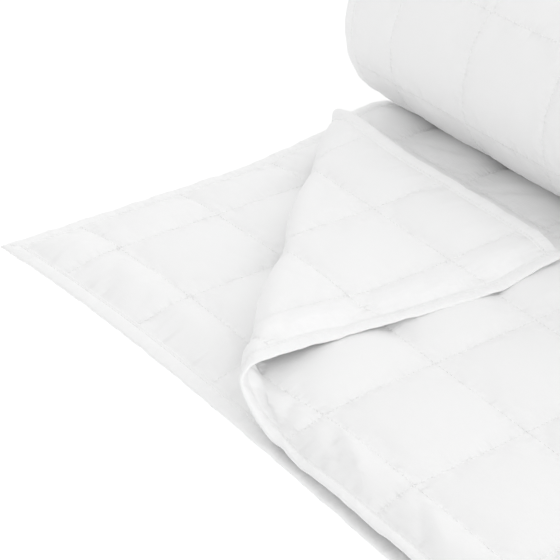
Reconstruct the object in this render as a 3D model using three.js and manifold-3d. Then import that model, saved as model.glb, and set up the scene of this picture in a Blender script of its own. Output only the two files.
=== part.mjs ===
// A light quilted duvet, folded lengthwise in half and rolled up from its far end on to its own
// near part. The near corner of the upper half is turned back at 45 degrees, and a flat tape binds
// the four edges. Millimetres, +Z up. X runs across the folded duvet, from its open edges to its
// fold, and Y runs from the near end to the roll. The part stands on z = 0, and while it is built
// the near corner of the lower half is close to x = y = 0.
import * as THREE from "three";
import Module from "manifold-3d";

const wasm = await Module();
wasm.setup();

// Driving dimensions of the duvet laid open.
// The quilting is a square grid. Eleven cells and two margins make the width, and seventeen the length.
const PITCH = 109;
const SIDE_MARGIN = 0.75 * PITCH;
const END_MARGIN = 0.65 * PITCH;
const CELLS_ACROSS = 11;
const BINDING_WIDTH = 15;
const BINDING_THICKNESS = 3.4;
const BINDING_GAP = 0.5;
const SEAM_THICKNESS = 2.4;

// Loft of the cells where each layer lies, at the middle of a cell.
const LOWER_LOFT = 18;
const UPPER_LOFT = 17;
const TURNED_LOFT = 17;
const ROLL_BULGE = 5.5;
const LAYER_GAP = 1.4;

// The folded layers as they lie.
const FOLD_U = SIDE_MARGIN + (CELLS_ACROSS / 2) * PITCH;
const LOWER_Z = LOWER_LOFT / 2;
const UPPER_Z = LOWER_LOFT + LAYER_GAP + UPPER_LOFT / 2;
const TURNED_Z = UPPER_Z + UPPER_LOFT + LAYER_GAP;
const SHIFT_X = -0.04 * PITCH;
const SHIFT_Y = 0.05 * PITCH;
const CREASE_SUM = 3.39 * PITCH;

// How the quilting draws the edges in. The lower half's near corner is pulled out a little instead.
const DRAWN_IN = 0.36 * PITCH;
const DRAWN_IN_REACH = 2.1 * PITCH;
const DRAWN_IN_DEPTH = 1.6 * END_MARGIN;
const CORNER_PULL = 0.09 * PITCH;
const END_SHORTENING = 0.34;
const TURNED_END_SHORTENING = 0.06;
const SIDE_SHORTENING = 0.06;
const TURNED_SIDE_SHORTENING = 0.02;
const SIDE_TUCK = 0.06 * PITCH;
const TUCK_START = 3.3 * PITCH;

// How far the edges come down, and where the lower half's side edge is lifted beside the roll.
const EDGE_CLEARANCE = 0.9;
const EDGE_FLATTENING = 0.8;
const SIDE_LIFT = 5;
const LIFT_START = 2.2 * PITCH;
const LIFT_RUN = 1.6 * PITCH;
const UPPER_END_DROP = 14;
const UPPER_SIDE_DROP = 9;
const SIDE_DROP_EASING = 0.6;
const EASING_START = 3 * PITCH;
const TURNED_END_DROP = 5;
const TURNED_SIDE_DROP = 2;

// The layers are pressed together where they go under the roll, and the upper half at its crease.
const PRESS_START = 3.6 * PITCH;
const PRESS_RUN = 0.7 * PITCH;
const ROLL_PRESS = 0.22;
const UNDER_ROLL_DROP = 3.2;
const CREASE_PRESS = 0.35;
const CREASE_PRESS_REACH = 0.4 * PITCH;
const CREASE_BEND = 0.26 * PITCH;
const CREASE_ROWS = 9;

// The cell that the lengthwise fold bends in two.
const FOLD_HALF_LOFT = 7;
const FOLD_INNER_HALF_LOFT = 3.5;
const FOLD_BEND_REACH = 0.28;

// The roll: centre, seam-level radius where its outer turn starts and ends, and the turns of its spiral.
const ROLL_Y = 4.51 * PITCH;
const ROLL_Z = 1.2 * PITCH;
const ROLL_FRONT_RADIUS = 0.925 * PITCH;
const ROLL_TURNS = 4;
const ROLL_SEAM_TURN = 225 / 360;
const ROLL_END_INSET = 10;
const ROLL_SAG_POWER = 1.5;
const CORE_DEPTH = 22;
const UNBOUND_CORE_TURNS = 0.3;

// Grid steps in one quilted cell, the least spaces between lines, and how far the slabs overlap.
const STEPS = 4;
const STEP = PITCH / STEPS;
const LEAST_STEP = 6;
const LEAST_SPACING = 2.5;
const SAME_PLACE = 1e-6;
const SEAM_OVERLAP = 3;
const ROLL_OVERLAP = 8;
const NORMAL_CHORD = 0.5;
const FINE_STEPS = 720;
const SIMPLIFYING = 0.02;

const clamp = (t, low, high) => Math.min(high, Math.max(low, t));
const mix = (a, b, t) => a + (b - a) * t;
const smooth = (t) => {
  const k = clamp(t, 0, 1);
  return k * k * (3 - 2 * k);
};

// Crown of the quilting, 0 on a seam and 1 at the middle of a cell. One factor for each direction.
function arch(distance, margin) {
  const inner = margin - BINDING_WIDTH;
  const part = distance < margin ? (distance - BINDING_WIDTH) / inner : ((distance - margin) / PITCH) % 1;
  return Math.sin(Math.PI * clamp(part, 0, 1));
}

function crown(u, v) {
  return plump(arch(u, SIDE_MARGIN) * arch(v, END_MARGIN));
}

// A cell rises steeply from its seams and is flatter in its middle.
function plump(product) {
  const power = 0.6;
  return Math.pow(Math.max(0, product), power);
}

function halfLoft(u, v, loft) {
  return SEAM_THICKNESS / 2 + ((loft - SEAM_THICKNESS) / 2) * crown(u, v);
}

// How far the cloth has dropped at a distance from its edge: 1 at the edge, 0 from the first seam on.
function edgeDrop(distance, margin) {
  return 1 - smooth(distance / margin);
}

// Place across the duvet. The side edge is drawn in a little where it goes into the roll.
function acrossX(u, v) {
  const tuck = SIDE_TUCK * Math.max(0, 1 - u / SIDE_MARGIN);
  return u + SHIFT_X + tuck * smooth((v - TUCK_START) / PITCH);
}

// What is left of the loft as the layers go under the roll.
function pressed(v) {
  return 1 - ROLL_PRESS * smooth((v - PRESS_START) / PRESS_RUN);
}

// Middle surface of the lower half. Its near edge is drawn in by the quilting, but for the corner.
function lowerPoint(u, v) {
  const drawnIn = DRAWN_IN * (1 - Math.exp(-u / DRAWN_IN_REACH)) - CORNER_PULL;
  const nearEdge = edgeDrop(v, DRAWN_IN_DEPTH);
  const sideEdge = edgeDrop(u, SIDE_MARGIN);
  const y = v + SHIFT_Y + drawnIn * nearEdge;
  const low = BINDING_THICKNESS / 2 + EDGE_CLEARANCE;
  const lift = SIDE_LIFT * smooth((v - LIFT_START) / LIFT_RUN) * sideEdge;
  const near = mix(LOWER_Z, low, edgeDrop(v, EDGE_FLATTENING * END_MARGIN));
  const side = mix(LOWER_Z, low, edgeDrop(u, EDGE_FLATTENING * SIDE_MARGIN));
  return new THREE.Vector3(acrossX(u, v), y, Math.min(near, side) + lift);
}

// Height of the upper half: where it lies flat, and where its corner lies turned back on it.
function layingZ(u, v) {
  const near = UPPER_END_DROP * edgeDrop(v, END_MARGIN);
  const eased = 1 - SIDE_DROP_EASING * smooth((v - EASING_START) / PITCH);
  const side = UPPER_SIDE_DROP * edgeDrop(u, SIDE_MARGIN) * eased;
  const under = UNDER_ROLL_DROP * smooth((v - PRESS_START) / PRESS_RUN);
  return UPPER_Z - Math.max(near, side) - under;
}

function turnedZ(u, v) {
  const near = TURNED_END_DROP * edgeDrop(v, END_MARGIN);
  const side = TURNED_SIDE_DROP * edgeDrop(u, SIDE_MARGIN);
  return TURNED_Z - Math.max(near, side);
}

// Middle surface of the upper half with its corner turned back over a round crease at 45 degrees.
function upperPoint(u, v) {
  const along = (v - u) / Math.SQRT2;
  const radius = (turnedZ(u, v) - layingZ(u, v)) / 2;
  const start = (Math.PI * radius) / 2;
  const across = (u + v - CREASE_SUM) / Math.SQRT2;
  const angle = clamp((start - across) / radius, 0, Math.PI);
  const turned = angle / Math.PI;
  // Edges are drawn in: strongly where they hang over the lower half, little on the turned corner.
  const shortenV = mix(END_SHORTENING, TURNED_END_SHORTENING, turned) * Math.max(0, END_MARGIN - v);
  const laid = SIDE_SHORTENING * (1 - smooth((v - TUCK_START) / PITCH));
  const shortenU = mix(laid, TURNED_SIDE_SHORTENING, turned) * Math.max(0, SIDE_MARGIN - u);
  let place = across;
  if (angle >= Math.PI) place = -across + 2 * start - Math.PI * radius;
  else if (angle > 0) place = start - radius * Math.sin(angle);
  const height = layingZ(u, v) + radius * (1 - Math.cos(angle));
  const x = (place - along + CREASE_SUM / Math.SQRT2) / Math.SQRT2;
  const y = (place + along + CREASE_SUM / Math.SQRT2) / Math.SQRT2;
  const moveX = mix(shortenU + acrossX(u, v) - u, -shortenV + SHIFT_X, turned);
  const moveY = mix(shortenV, -shortenU, turned) + SHIFT_Y;
  return new THREE.Vector3(x + moveX, y + moveY, height);
}

// Middle surface of the cell that the lengthwise fold bends in two. across runs from the cell's
// lower seam to its upper one.
function foldPoint(across, v) {
  const seamX = FOLD_U - PITCH / 2 + SHIFT_X;
  const lowZ = lowerPoint(FOLD_U, v).z;
  const highZ = layingZ(FOLD_U, v);
  const radius = (highZ - lowZ) / 2;
  const straight = (PITCH - Math.PI * radius) / 2;
  const angle = clamp((across - straight) / radius, 0, Math.PI);
  const run = across <= PITCH / 2 ? Math.min(across, straight) : Math.min(PITCH - across, straight);
  const lowY = lowerPoint(FOLD_U, v).y;
  const highY = upperPoint(FOLD_U - PITCH / 2, v).y;
  const z = lowZ + radius * (1 - Math.cos(angle));
  return new THREE.Vector3(seamX + run + radius * Math.sin(angle), mix(lowY, highY, angle / Math.PI), z);
}

// Unit normal of a middle surface, from two short chords.
function normalAt(point, u, v) {
  const d = NORMAL_CHORD;
  const alongU = point(u + d, v).sub(point(u - d, v));
  const alongV = point(u, v + d).sub(point(u, v - d));
  return alongU.cross(alongV).normalize();
}

function offset(point, u, v, distance) {
  return point(u, v).addScaledVector(normalAt(point, u, v), distance);
}

// Triangles between two rows of points whose keys both rise along the row.
function zip(rowA, rowB, emit) {
  let i = 0;
  let j = 0;
  while (i < rowA.length - 1 || j < rowB.length - 1) {
    const nextA = i < rowA.length - 1 ? rowA[i + 1].key : Infinity;
    const nextB = j < rowB.length - 1 ? rowB[j + 1].key : Infinity;
    if (nextA <= nextB) {
      emit(rowA[i], rowA[i + 1], rowB[j]);
      i += 1;
    } else {
      emit(rowA[i], rowB[j + 1], rowB[j]);
      j += 1;
    }
  }
}

// Places across the folded cell, from a little before its lower seam to a little past its upper one.
const HALF_FOLD_LINES = [-SEAM_OVERLAP, 0, 14, 28, 40, 47];
const FOLD_LINES = [
  ...HALF_FOLD_LINES,
  PITCH / 2,
  ...HALF_FOLD_LINES.map((line) => PITCH - line).reverse(),
];

// Profiles of the roll's end faces across one turn, from its outer side in. Heights are over the end plane.
const LAYER_PARTS = [0.25, 0.75];
const OPEN_END_PROFILE = [
  { part: 0, height: -5 },
  { part: LAYER_PARTS[0], height: 0 },
  { part: 0.5, height: -4 },
  { part: LAYER_PARTS[1], height: 0 },
];
const FOLDED_END_PROFILE = [
  { part: 0, height: 0 },
  { part: 0.2, height: 7 },
  { part: 0.5, height: 10 },
  { part: 0.8, height: 7 },
];

const rollX = (u) => acrossX(u, 4.3 * PITCH);
const rollArch = (v) => Math.abs(Math.sin((Math.PI * (v - END_MARGIN)) / PITCH));

// A closed slab over rows of sheet points { u, v, key }, between an upper and a lower surface.
function slab(rows, upper, lower) {
  const points = [];
  const triangles = [];
  const count = rows.reduce((sum, row) => sum + row.length, 0);
  let index = 0;
  for (const row of rows) {
    for (const node of row) {
      node.index = index;
      points[index] = upper(node.u, node.v);
      points[index + count] = lower(node.u, node.v);
      index += 1;
    }
  }
  for (let r = 0; r < rows.length - 1; r += 1) {
    zip(rows[r], rows[r + 1], (a, b, c) => {
      triangles.push([a.index, b.index, c.index]);
      triangles.push([a.index + count, c.index + count, b.index + count]);
    });
  }
  const last = rows[rows.length - 1];
  const rim = [...rows[0].slice(0, -1), ...rows.slice(0, -1).map((row) => row[row.length - 1])];
  rim.push(...last.slice(1).reverse(), ...rows.slice(1).reverse().map((row) => row[0]));
  const loop = rim.filter((node, i) => node !== rim[(i + 1) % rim.length]);
  loop.forEach((node, i) => {
    const next = loop[(i + 1) % loop.length];
    triangles.push([node.index, node.index + count, next.index + count]);
    triangles.push([node.index, next.index + count, next.index]);
  });
  return closedSolid(points, triangles);
}

// A closed solid from points and triangles, turned outward if they face in.
function closedSolid(points, triangles) {
  let volume = 0;
  for (const [a, b, c] of triangles) volume += points[a].dot(points[b].clone().cross(points[c]));
  const faces = volume < 0 ? triangles.map(([a, b, c]) => [a, c, b]) : triangles;
  const vertProperties = new Float32Array(points.flatMap((p) => [p.x, p.y, p.z]));
  const triVerts = new Uint32Array(faces.flat());
  const mesh = new wasm.Mesh({ numProp: 3, vertProperties, triVerts });
  mesh.merge();
  return new wasm.Manifold(mesh);
}

// Grid lines from the bound edge to an end, with every seam on a line.
function gridLines(start, margin, end) {
  const lines = [start];
  for (let t = margin - Math.floor((margin - start) / STEP) * STEP; t < end - 1; t += STEP) {
    if (t > start + LEAST_STEP) lines.push(t);
  }
  lines.push(end);
  return lines;
}

// Rows along the near edge, for a sheet with no crease.
function straightRows(uLines, vLines) {
  return vLines.map((v) => uLines.map((u) => ({ u, v, key: u })));
}

// Sums u + v of the rows parallel to the crease, closer where the cloth bends over it.
function creaseStops(end) {
  const stops = [];
  const seamSum = SIDE_MARGIN + END_MARGIN;
  for (let sum = seamSum - Math.floor(seamSum / STEP) * STEP; sum < end; sum += STEP) {
    if (Math.abs(sum - CREASE_SUM) > CREASE_BEND + LEAST_STEP) stops.push(sum);
  }
  for (let k = 0; k < CREASE_ROWS; k += 1) {
    stops.push(CREASE_SUM + CREASE_BEND * ((2 * k) / (CREASE_ROWS - 1) - 1));
  }
  return stops.sort((a, b) => a - b);
}

// Rows parallel to the crease, with closer rows where the cloth bends over it.
function creaseRows(uLines, vLines) {
  const [uLow, uHigh] = [uLines[0], uLines[uLines.length - 1]];
  const [vLow, vHigh] = [vLines[0], vLines[vLines.length - 1]];
  const stops = creaseStops(uHigh + vHigh - 1).filter((sum) => sum > uLow + vLow + LEAST_STEP);
  return [uLow + vLow, ...stops, uHigh + vHigh].map((sum) => {
    const from = Math.max(uLow, sum - vHigh);
    const to = Math.min(uHigh, sum - vLow);
    const crossings = [from, to, ...uLines, ...vLines.map((v) => sum - v)];
    const inside = crossings.filter((u) => u >= from && u <= to).sort((a, b) => a - b);
    const apart = inside.filter((u, i) => i === 0 || u - inside[i - 1] > SAME_PLACE);
    const spaced = apart.filter((u, i) => {
      const isEnd = i === 0 || i === apart.length - 1;
      return isEnd || apart[i + 1] - u > LEAST_SPACING;
    });
    return spaced.map((u) => ({ u, v: sum - u, key: u - sum / 2 }));
  });
}

// Grid lines of the two halves. They reach a little into the folded cell and into the roll.
const ROLL_V = ROLL_Y - SHIFT_Y + ROLL_OVERLAP;
const HALF_LINES = {
  across: gridLines(BINDING_WIDTH, SIDE_MARGIN, FOLD_U - PITCH / 2 + SEAM_OVERLAP),
  along: gridLines(BINDING_WIDTH, END_MARGIN, ROLL_V),
};

// The lower half rests on the flat crowns of its cells.
function lowerSlab() {
  const flattening = 1.35;
  const rows = straightRows(HALF_LINES.across, HALF_LINES.along);
  const loft = (u, v) => halfLoft(u, v, LOWER_LOFT) * pressed(v);
  const under = (u, v) => {
    const p = offset(lowerPoint, u, v, -flattening * loft(u, v));
    p.z = Math.max(0, p.z);
    return p;
  };
  return slab(rows, (u, v) => offset(lowerPoint, u, v, loft(u, v)), under);
}

function upperSlab() {
  const loft = (u, v) => {
    const nearCrease = 1 - smooth(Math.abs(u + v - CREASE_SUM) / CREASE_PRESS_REACH);
    const whole = halfLoft(u, v, u + v < CREASE_SUM ? TURNED_LOFT : UPPER_LOFT);
    return whole * pressed(v) * (1 - CREASE_PRESS * nearCrease);
  };
  return slab(
    creaseRows(HALF_LINES.across, HALF_LINES.along),
    (u, v) => offset(upperPoint, u, v, loft(u, v)),
    (u, v) => offset(upperPoint, u, v, -loft(u, v)),
  );
}

// The middle cell, bent round the lengthwise fold. Its inner face is towards the fold's hollow.
function foldSlab() {
  const rise = (across, v) => {
    const part = Math.sin(Math.PI * clamp(across / PITCH, 0, 1));
    return pressed(v) * plump(part * arch(v, END_MARGIN));
  };
  const inner = (across, v) => {
    const halfLoftHere = mix(FOLD_HALF_LOFT, FOLD_INNER_HALF_LOFT, foldBend(across));
    return offset(foldPoint, across, v, SEAM_THICKNESS / 2 + rise(across, v) * halfLoftHere);
  };
  const outer = (across, v) => {
    const p = offset(foldPoint, across, v, -SEAM_THICKNESS / 2 - rise(across, v) * FOLD_HALF_LOFT);
    p.z = Math.max(0, p.z);
    return p;
  };
  return slab(straightRows(FOLD_LINES, HALF_LINES.along), inner, outer);
}

// 0 where the folded cell lies flat, 1 where it is bent most.
function foldBend(across) {
  return smooth(1 - Math.abs(across / PITCH - 0.5) / FOLD_BEND_REACH);
}

// The roll's winding. Turns are counted from the lowest point of its outer turn, up its back and over.
const ROLL_TIGHTENING = 1 - ROLL_FRONT_RADIUS / ROLL_Z;

function outerRadius(turn) {
  const depth = (1 + Math.cos(2 * Math.PI * turn)) / 2;
  const sag = turn < 0.5 ? Math.pow(depth, ROLL_SAG_POWER) : 0;
  return ROLL_FRONT_RADIUS + (ROLL_Z - ROLL_FRONT_RADIUS) * sag;
}

function windingRadius(turns) {
  const place = turns < 1 ? turns : turns % 1;
  const base = outerRadius(place) / (1 - ROLL_TIGHTENING * place);
  return base * (1 - ROLL_TIGHTENING * turns);
}

function onRoll(turns, radius, x) {
  const angle = 2 * Math.PI * turns;
  return new THREE.Vector3(x, ROLL_Y + radius * Math.sin(angle), ROLL_Z - radius * Math.cos(angle));
}

// Places of the outer turn's steps, with a seam across the duvet at ROLL_SEAM_TURN.
function rollStations() {
  const fineTurn = (2 * Math.PI) / FINE_STEPS;
  const lengths = [0];
  for (let i = 1; i <= FINE_STEPS; i += 1) {
    lengths.push(lengths[i - 1] + outerRadius(i / FINE_STEPS) * fineTurn);
  }
  const seamLength = lengths[Math.round(ROLL_SEAM_TURN * FINE_STEPS)];
  const seamV = END_MARGIN + PITCH * Math.ceil(seamLength / PITCH);
  const stations = [{ turn: 0, v: seamV - seamLength }];
  const first = Math.ceil((seamV - seamLength - END_MARGIN + LEAST_STEP) / STEP);
  for (let k = first; ; k += 1) {
    const wanted = END_MARGIN + k * STEP - (seamV - seamLength);
    if (wanted > lengths[FINE_STEPS] - LEAST_STEP) break;
    const i = lengths.findIndex((length) => length >= wanted);
    stations.push({ turn: i / FINE_STEPS, v: END_MARGIN + k * STEP });
  }
  return { stations, endV: seamV - seamLength + lengths[FINE_STEPS] };
}
const ROLL = rollStations();

// The wound roll: the puffed skin of its outer turn, and two end faces on which the turns stand out.
function rollSolid() {
  const stations = ROLL.stations;
  const perTurn = stations.length;
  const endU = FOLD_U - ROLL_END_INSET;
  const xLines = gridLines(BINDING_WIDTH, SIDE_MARGIN, endU);
  const points = [];
  const triangles = [];
  const add = (p) => points.push(p) - 1;
  const turnAt = (i) => Math.floor(i / perTurn) + stations[i % perTurn].turn;
  // Skin of the outer turn, one row for each station, and one more where the turn ends.
  const skin = [];
  for (let i = 0; i <= perTurn; i += 1) {
    const v = i < perTurn ? stations[i].v : ROLL.endV;
    const row = xLines.map((u) => {
      const bulge = ROLL_BULGE * plump(arch(u, SIDE_MARGIN) * rollArch(v));
      const p = onRoll(turnAt(i), windingRadius(turnAt(i)) + bulge, rollX(u));
      p.z = Math.max(0, p.z);
      return add(p);
    });
    skin.push(row);
  }
  for (let i = 0; i < perTurn; i += 1) {
    for (let j = 0; j < xLines.length - 1; j += 1) {
      const [a, b, c, d] = [skin[i][j], skin[i][j + 1], skin[i + 1][j + 1], skin[i + 1][j]];
      triangles.push([a, b, c], [a, c, d]);
    }
  }
  // The step from the start of the outer turn to its end, inside the flat layers.
  for (let j = 0; j < xLines.length - 1; j += 1) {
    const [a, b, c, d] = [skin[0][j], skin[perTurn][j], skin[perTurn][j + 1], skin[0][j + 1]];
    triangles.push([a, b, c], [a, c, d]);
  }
  const ends = [
    { column: 0, x: rollX(BINDING_WIDTH), sign: -1, profile: OPEN_END_PROFILE },
    { column: xLines.length - 1, x: rollX(endU), sign: 1, profile: FOLDED_END_PROFILE },
  ];
  for (const end of ends) {
    const rows = [];
    const total = perTurn * ROLL_TURNS;
    for (let i = 0; i <= total; i += 1) {
      const outer = windingRadius(turnAt(i));
      const inner = windingRadius(turnAt(i) + 1);
      const row = end.profile.map(({ part, height }) => {
        if (part === 0 && i <= perTurn) return skin[i][end.column];
        return add(onRoll(turnAt(i), mix(outer, inner, part), end.x + end.sign * height));
      });
      rows.push(row);
    }
    const coreX = end.x + end.sign * end.profile[0].height;
    const coreRing = [];
    for (let i = 0; i <= total; i += 1) {
      const isInnermost = i + perTurn > total;
      const edge = isInnermost
        ? add(onRoll(turnAt(i), windingRadius(turnAt(i) + 1), coreX))
        : rows[i + perTurn][0];
      rows[i].push(edge);
      if (i >= total - perTurn) coreRing.push(edge);
    }
    const face = (a, b, c) => triangles.push(end.sign > 0 ? [a, c, b] : [a, b, c]);
    for (let i = 0; i < total; i += 1) {
      for (let k = 0; k < end.profile.length; k += 1) {
        const [a, b, c, d] = [rows[i][k], rows[i + 1][k], rows[i + 1][k + 1], rows[i][k + 1]];
        face(a, b, c);
        face(a, c, d);
      }
    }
    // The start of the outer turn, where the cap meets the step.
    for (let k = 1; k < end.profile.length; k += 1) face(rows[0][0], rows[0][k], rows[0][k + 1]);
    // The small hollow left at the core.
    const core = add(new THREE.Vector3(end.x - end.sign * CORE_DEPTH, ROLL_Y, ROLL_Z));
    for (let i = 0; i < coreRing.length - 1; i += 1) face(coreRing[i], coreRing[i + 1], core);
    const lastRow = rows[total];
    for (let k = lastRow.length - 1; k > 0; k -= 1) face(lastRow[k], lastRow[k - 1], core);
  }
  return closedSolid(points, triangles);
}

// Cross-sections of the tape along the bound edges: the sheet places of its inner and outer edge,
// and the surface that they lie on.
function edgeStations() {
  const inner = BINDING_WIDTH - BINDING_GAP;
  const foldSeam = FOLD_U - PITCH / 2;
  const lowerU = gridLines(BINDING_WIDTH, SIDE_MARGIN, foldSeam).slice(1);
  const sideV = HALF_LINES.along.slice(1);
  const upperU = creaseStops(foldSeam).map((sum) => sum - BINDING_WIDTH);
  const upperV = creaseStops(ROLL_V).map((sum) => sum - BINDING_WIDTH);
  const side = (point, v, sign) => ({ point, sign, inner: [inner, v], outer: [0, v] });
  const near = (point, u, sign) => ({ point, sign, inner: [u, inner], outer: [u, 0] });
  const corner = (point, sign) => ({ point, sign, inner: [inner, inner], outer: [0, 0] });
  const isInner = (t, end) => t > BINDING_WIDTH + LEAST_SPACING && t < end - LEAST_SPACING;
  return [
    ...[...sideV].reverse().map((v) => side(lowerPoint, v, 1)),
    corner(lowerPoint, 1),
    ...lowerU.map((u) => near(lowerPoint, u, 1)),
    ...FOLD_LINES.slice(2, -2).map((across) => near(foldPoint, across, 1)),
    near(upperPoint, foldSeam, -1),
    ...upperU.filter((u) => isInner(u, foldSeam)).reverse().map((u) => near(upperPoint, u, -1)),
    corner(upperPoint, -1),
    ...upperV.filter((v) => isInner(v, ROLL_V)).map((v) => side(upperPoint, v, -1)),
    side(upperPoint, ROLL_V, -1),
  ];
}

// The tape where it is seen flat: one closed strip with a round outer edge.
function edgeStrip() {
  const half = BINDING_THICKNESS / 2;
  const shoulder = 0.12;
  const rings = edgeStations().map(({ point, sign, inner, outer }) => {
    const near = [mix(outer[0], inner[0], shoulder), mix(outer[1], inner[1], shoulder)];
    const at = ([u, v], side) => offset(point, u, v, side * sign * half);
    return [at(inner, 1), at(near, 1), at(outer, 0), at(near, -1), at(inner, -1)];
  });
  return tube(rings);
}

// A closed solid through rings of the same number of points.
function tube(rings) {
  const size = rings[0].length;
  const points = rings.flat();
  const triangles = [];
  for (let r = 0; r < rings.length - 1; r += 1) {
    for (let k = 0; k < size; k += 1) {
      const next = (k + 1) % size;
      const [a, b, c, d] = [r * size + k, r * size + next, (r + 1) * size + next, (r + 1) * size + k];
      triangles.push([a, c, b], [a, d, c]);
    }
  }
  const end = (rings.length - 1) * size;
  for (let k = 1; k < size - 1; k += 1) {
    triangles.push([0, k, k + 1]);
    triangles.push([end, end + k + 1, end + k]);
  }
  return closedSolid(points, triangles);
}

// The tape on one layer's edge in the open end of the roll. part is the layer's place across a turn.
function rolledStrip(part) {
  const half = BINDING_THICKNESS / 2;
  const near = rollX(0);
  const far = rollX(BINDING_WIDTH - BINDING_GAP);
  const perTurn = ROLL.stations.length;
  const rings = [];
  for (let i = 0; i < perTurn * (ROLL_TURNS - UNBOUND_CORE_TURNS); i += 1) {
    const turns = Math.floor(i / perTurn) + ROLL.stations[i % perTurn].turn;
    const middle = mix(windingRadius(turns), windingRadius(turns + 1), part);
    const [outer, inner] = [middle + half, middle - half];
    const at = (x, radius) => onRoll(turns, radius, x);
    rings.push([at(near, outer), at(far, outer), at(far, inner), at(near, inner)]);
  }
  return tube(rings);
}

function joined(solids) {
  return solids.reduce((sum, solid) => sum.add(solid));
}

// Only the outer skin of a joined solid: closed pockets between touching faces are filled.
function withoutPockets(solid) {
  return joined(solid.decompose().filter((piece) => piece.volume() > 0));
}

function toMesh(name, solid, look) {
  const mesh = solid.getMesh();
  const geometry = new THREE.BufferGeometry();
  geometry.setAttribute("position", new THREE.BufferAttribute(new Float32Array(mesh.vertProperties), 3));
  geometry.setIndex(new THREE.BufferAttribute(new Uint32Array(mesh.triVerts), 1));
  geometry.computeVertexNormals();
  const object = new THREE.Mesh(geometry, new THREE.MeshStandardMaterial(look));
  object.name = name;
  return object;
}

const quiltedParts = [lowerSlab(), upperSlab(), foldSlab(), rollSolid()];
const quilted = withoutPockets(joined(quiltedParts)).simplify(SIMPLIFYING);
const binding = joined([edgeStrip(), ...LAYER_PARTS.map(rolledStrip)]);

const duvet = new THREE.Group();
duvet.name = "folded_duvet";
duvet.add(toMesh("duvet", quilted, { color: 0xf1f1f0, roughness: 0.9, metalness: 0 }));
duvet.add(toMesh("edge_binding", binding, { color: 0xf4f4f3, roughness: 0.8, metalness: 0 }));

// The origin is at the middle of the part's base.
const box = new THREE.Box3().setFromObject(duvet);
duvet.position.set(-(box.min.x + box.max.x) / 2, -(box.min.y + box.max.y) / 2, -box.min.z);
export default duvet;
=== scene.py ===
import math

import bpy
import numpy as np
from mathutils import Matrix, Vector


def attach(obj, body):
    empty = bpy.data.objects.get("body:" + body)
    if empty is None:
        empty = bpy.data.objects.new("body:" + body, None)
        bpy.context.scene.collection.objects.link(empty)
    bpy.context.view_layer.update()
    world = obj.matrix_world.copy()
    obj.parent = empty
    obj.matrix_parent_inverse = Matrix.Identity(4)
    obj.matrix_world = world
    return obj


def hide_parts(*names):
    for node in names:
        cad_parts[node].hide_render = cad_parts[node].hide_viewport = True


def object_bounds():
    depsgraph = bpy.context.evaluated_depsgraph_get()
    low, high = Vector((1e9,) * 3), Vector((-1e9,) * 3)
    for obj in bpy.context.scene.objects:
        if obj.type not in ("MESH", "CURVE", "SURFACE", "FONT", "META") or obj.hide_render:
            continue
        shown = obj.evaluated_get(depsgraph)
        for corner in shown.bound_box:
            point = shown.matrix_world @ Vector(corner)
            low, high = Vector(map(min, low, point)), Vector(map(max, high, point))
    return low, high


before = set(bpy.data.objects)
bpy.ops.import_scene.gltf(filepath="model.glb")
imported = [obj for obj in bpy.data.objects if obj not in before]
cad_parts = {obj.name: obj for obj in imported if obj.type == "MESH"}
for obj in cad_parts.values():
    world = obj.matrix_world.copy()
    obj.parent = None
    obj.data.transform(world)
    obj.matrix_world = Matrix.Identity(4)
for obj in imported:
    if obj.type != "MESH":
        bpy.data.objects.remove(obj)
CAD_LOW, CAD_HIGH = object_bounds()

# The duvet laid open, in millimetres. s runs across it, from one bound side edge to the other, and v
# along it, from its near bound end. The quilting is a square grid.
PITCH = 109.0
SIDE_MARGIN = 0.75 * PITCH
END_MARGIN = 0.65 * PITCH
CELLS_ACROSS = 11
TAPE_WIDTH = 15.0
TAPE_HALF = 1.7
SEAM_HALF = 1.2
FOLD_S = SIDE_MARGIN + CELLS_ACROSS / 2 * PITCH
SHEET_WIDTH = 2 * FOLD_S
FOLD_START = FOLD_S - PITCH / 2
FOLD_END = FOLD_S + PITCH / 2

# Loft of the cells where each layer lies, and the heights of the layers' middle surfaces. The groove is
# beside a seam, and the covered run is where the lower layer goes under the upper one.
LOWER_LOFT = 18.0
UPPER_LOFT = 17.0
LAYER_GAP = 1.4
FLATTENED_UNDERSIDE = 1.35
FOLD_LOFT = 7.0
FOLD_INNER_LOFT = 3.5
FOLD_BEND_REACH = 0.28
LOWER_Z = LOWER_LOFT / 2
UPPER_Z = LOWER_LOFT + LAYER_GAP + UPPER_LOFT / 2
TURNED_Z = UPPER_Z + UPPER_LOFT + LAYER_GAP
SHOWN_LOFT = 16.0
GROOVE_PART = 0.34
GROOVE_WIDTH = 11.0
COVERED_RUN = 0.3 * PITCH

# Where the layers lie. The crease of the turned corner runs along x + y = CREASE_SUM.
SHIFT_X = -0.04 * PITCH
SHIFT_Y = 0.05 * PITCH
CREASE_SUM = 3.37 * PITCH
CREASE_PRESS = 0.15
CREASE_PRESS_REACH = 0.4 * PITCH

# How the quilting draws the edges in, how far they come down, and what lifts them.
DRAWN_IN = 0.36 * PITCH
DRAWN_IN_REACH = 2.1 * PITCH
DRAWN_IN_DEPTH = 1.6 * END_MARGIN
CORNER_PULL = 0.09 * PITCH
END_SHORTENING = 0.34
TURNED_END_SHORTENING = 0.06
SIDE_SHORTENING = 0.06
TURNED_SIDE_SHORTENING = 0.02
SIDE_TUCK = 0.06 * PITCH
TUCK_START = 3.3 * PITCH
EDGE_CLEARANCE = 0.9
EDGE_FLATTENING = 0.8
EDGE_WAVES = ((1.6, 27.5, 1.0), (1.2, 15.4, 2.2))
SIDE_LIFT = 15.0
LIFT_START = 2.2 * PITCH
LIFT_RUN = 1.6 * PITCH
UPPER_END_DROP = 12.0
UPPER_SIDE_DROP = 9.0
SIDE_DROP_EASING = 1.0
EASING_START = 3.0 * PITCH

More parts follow.
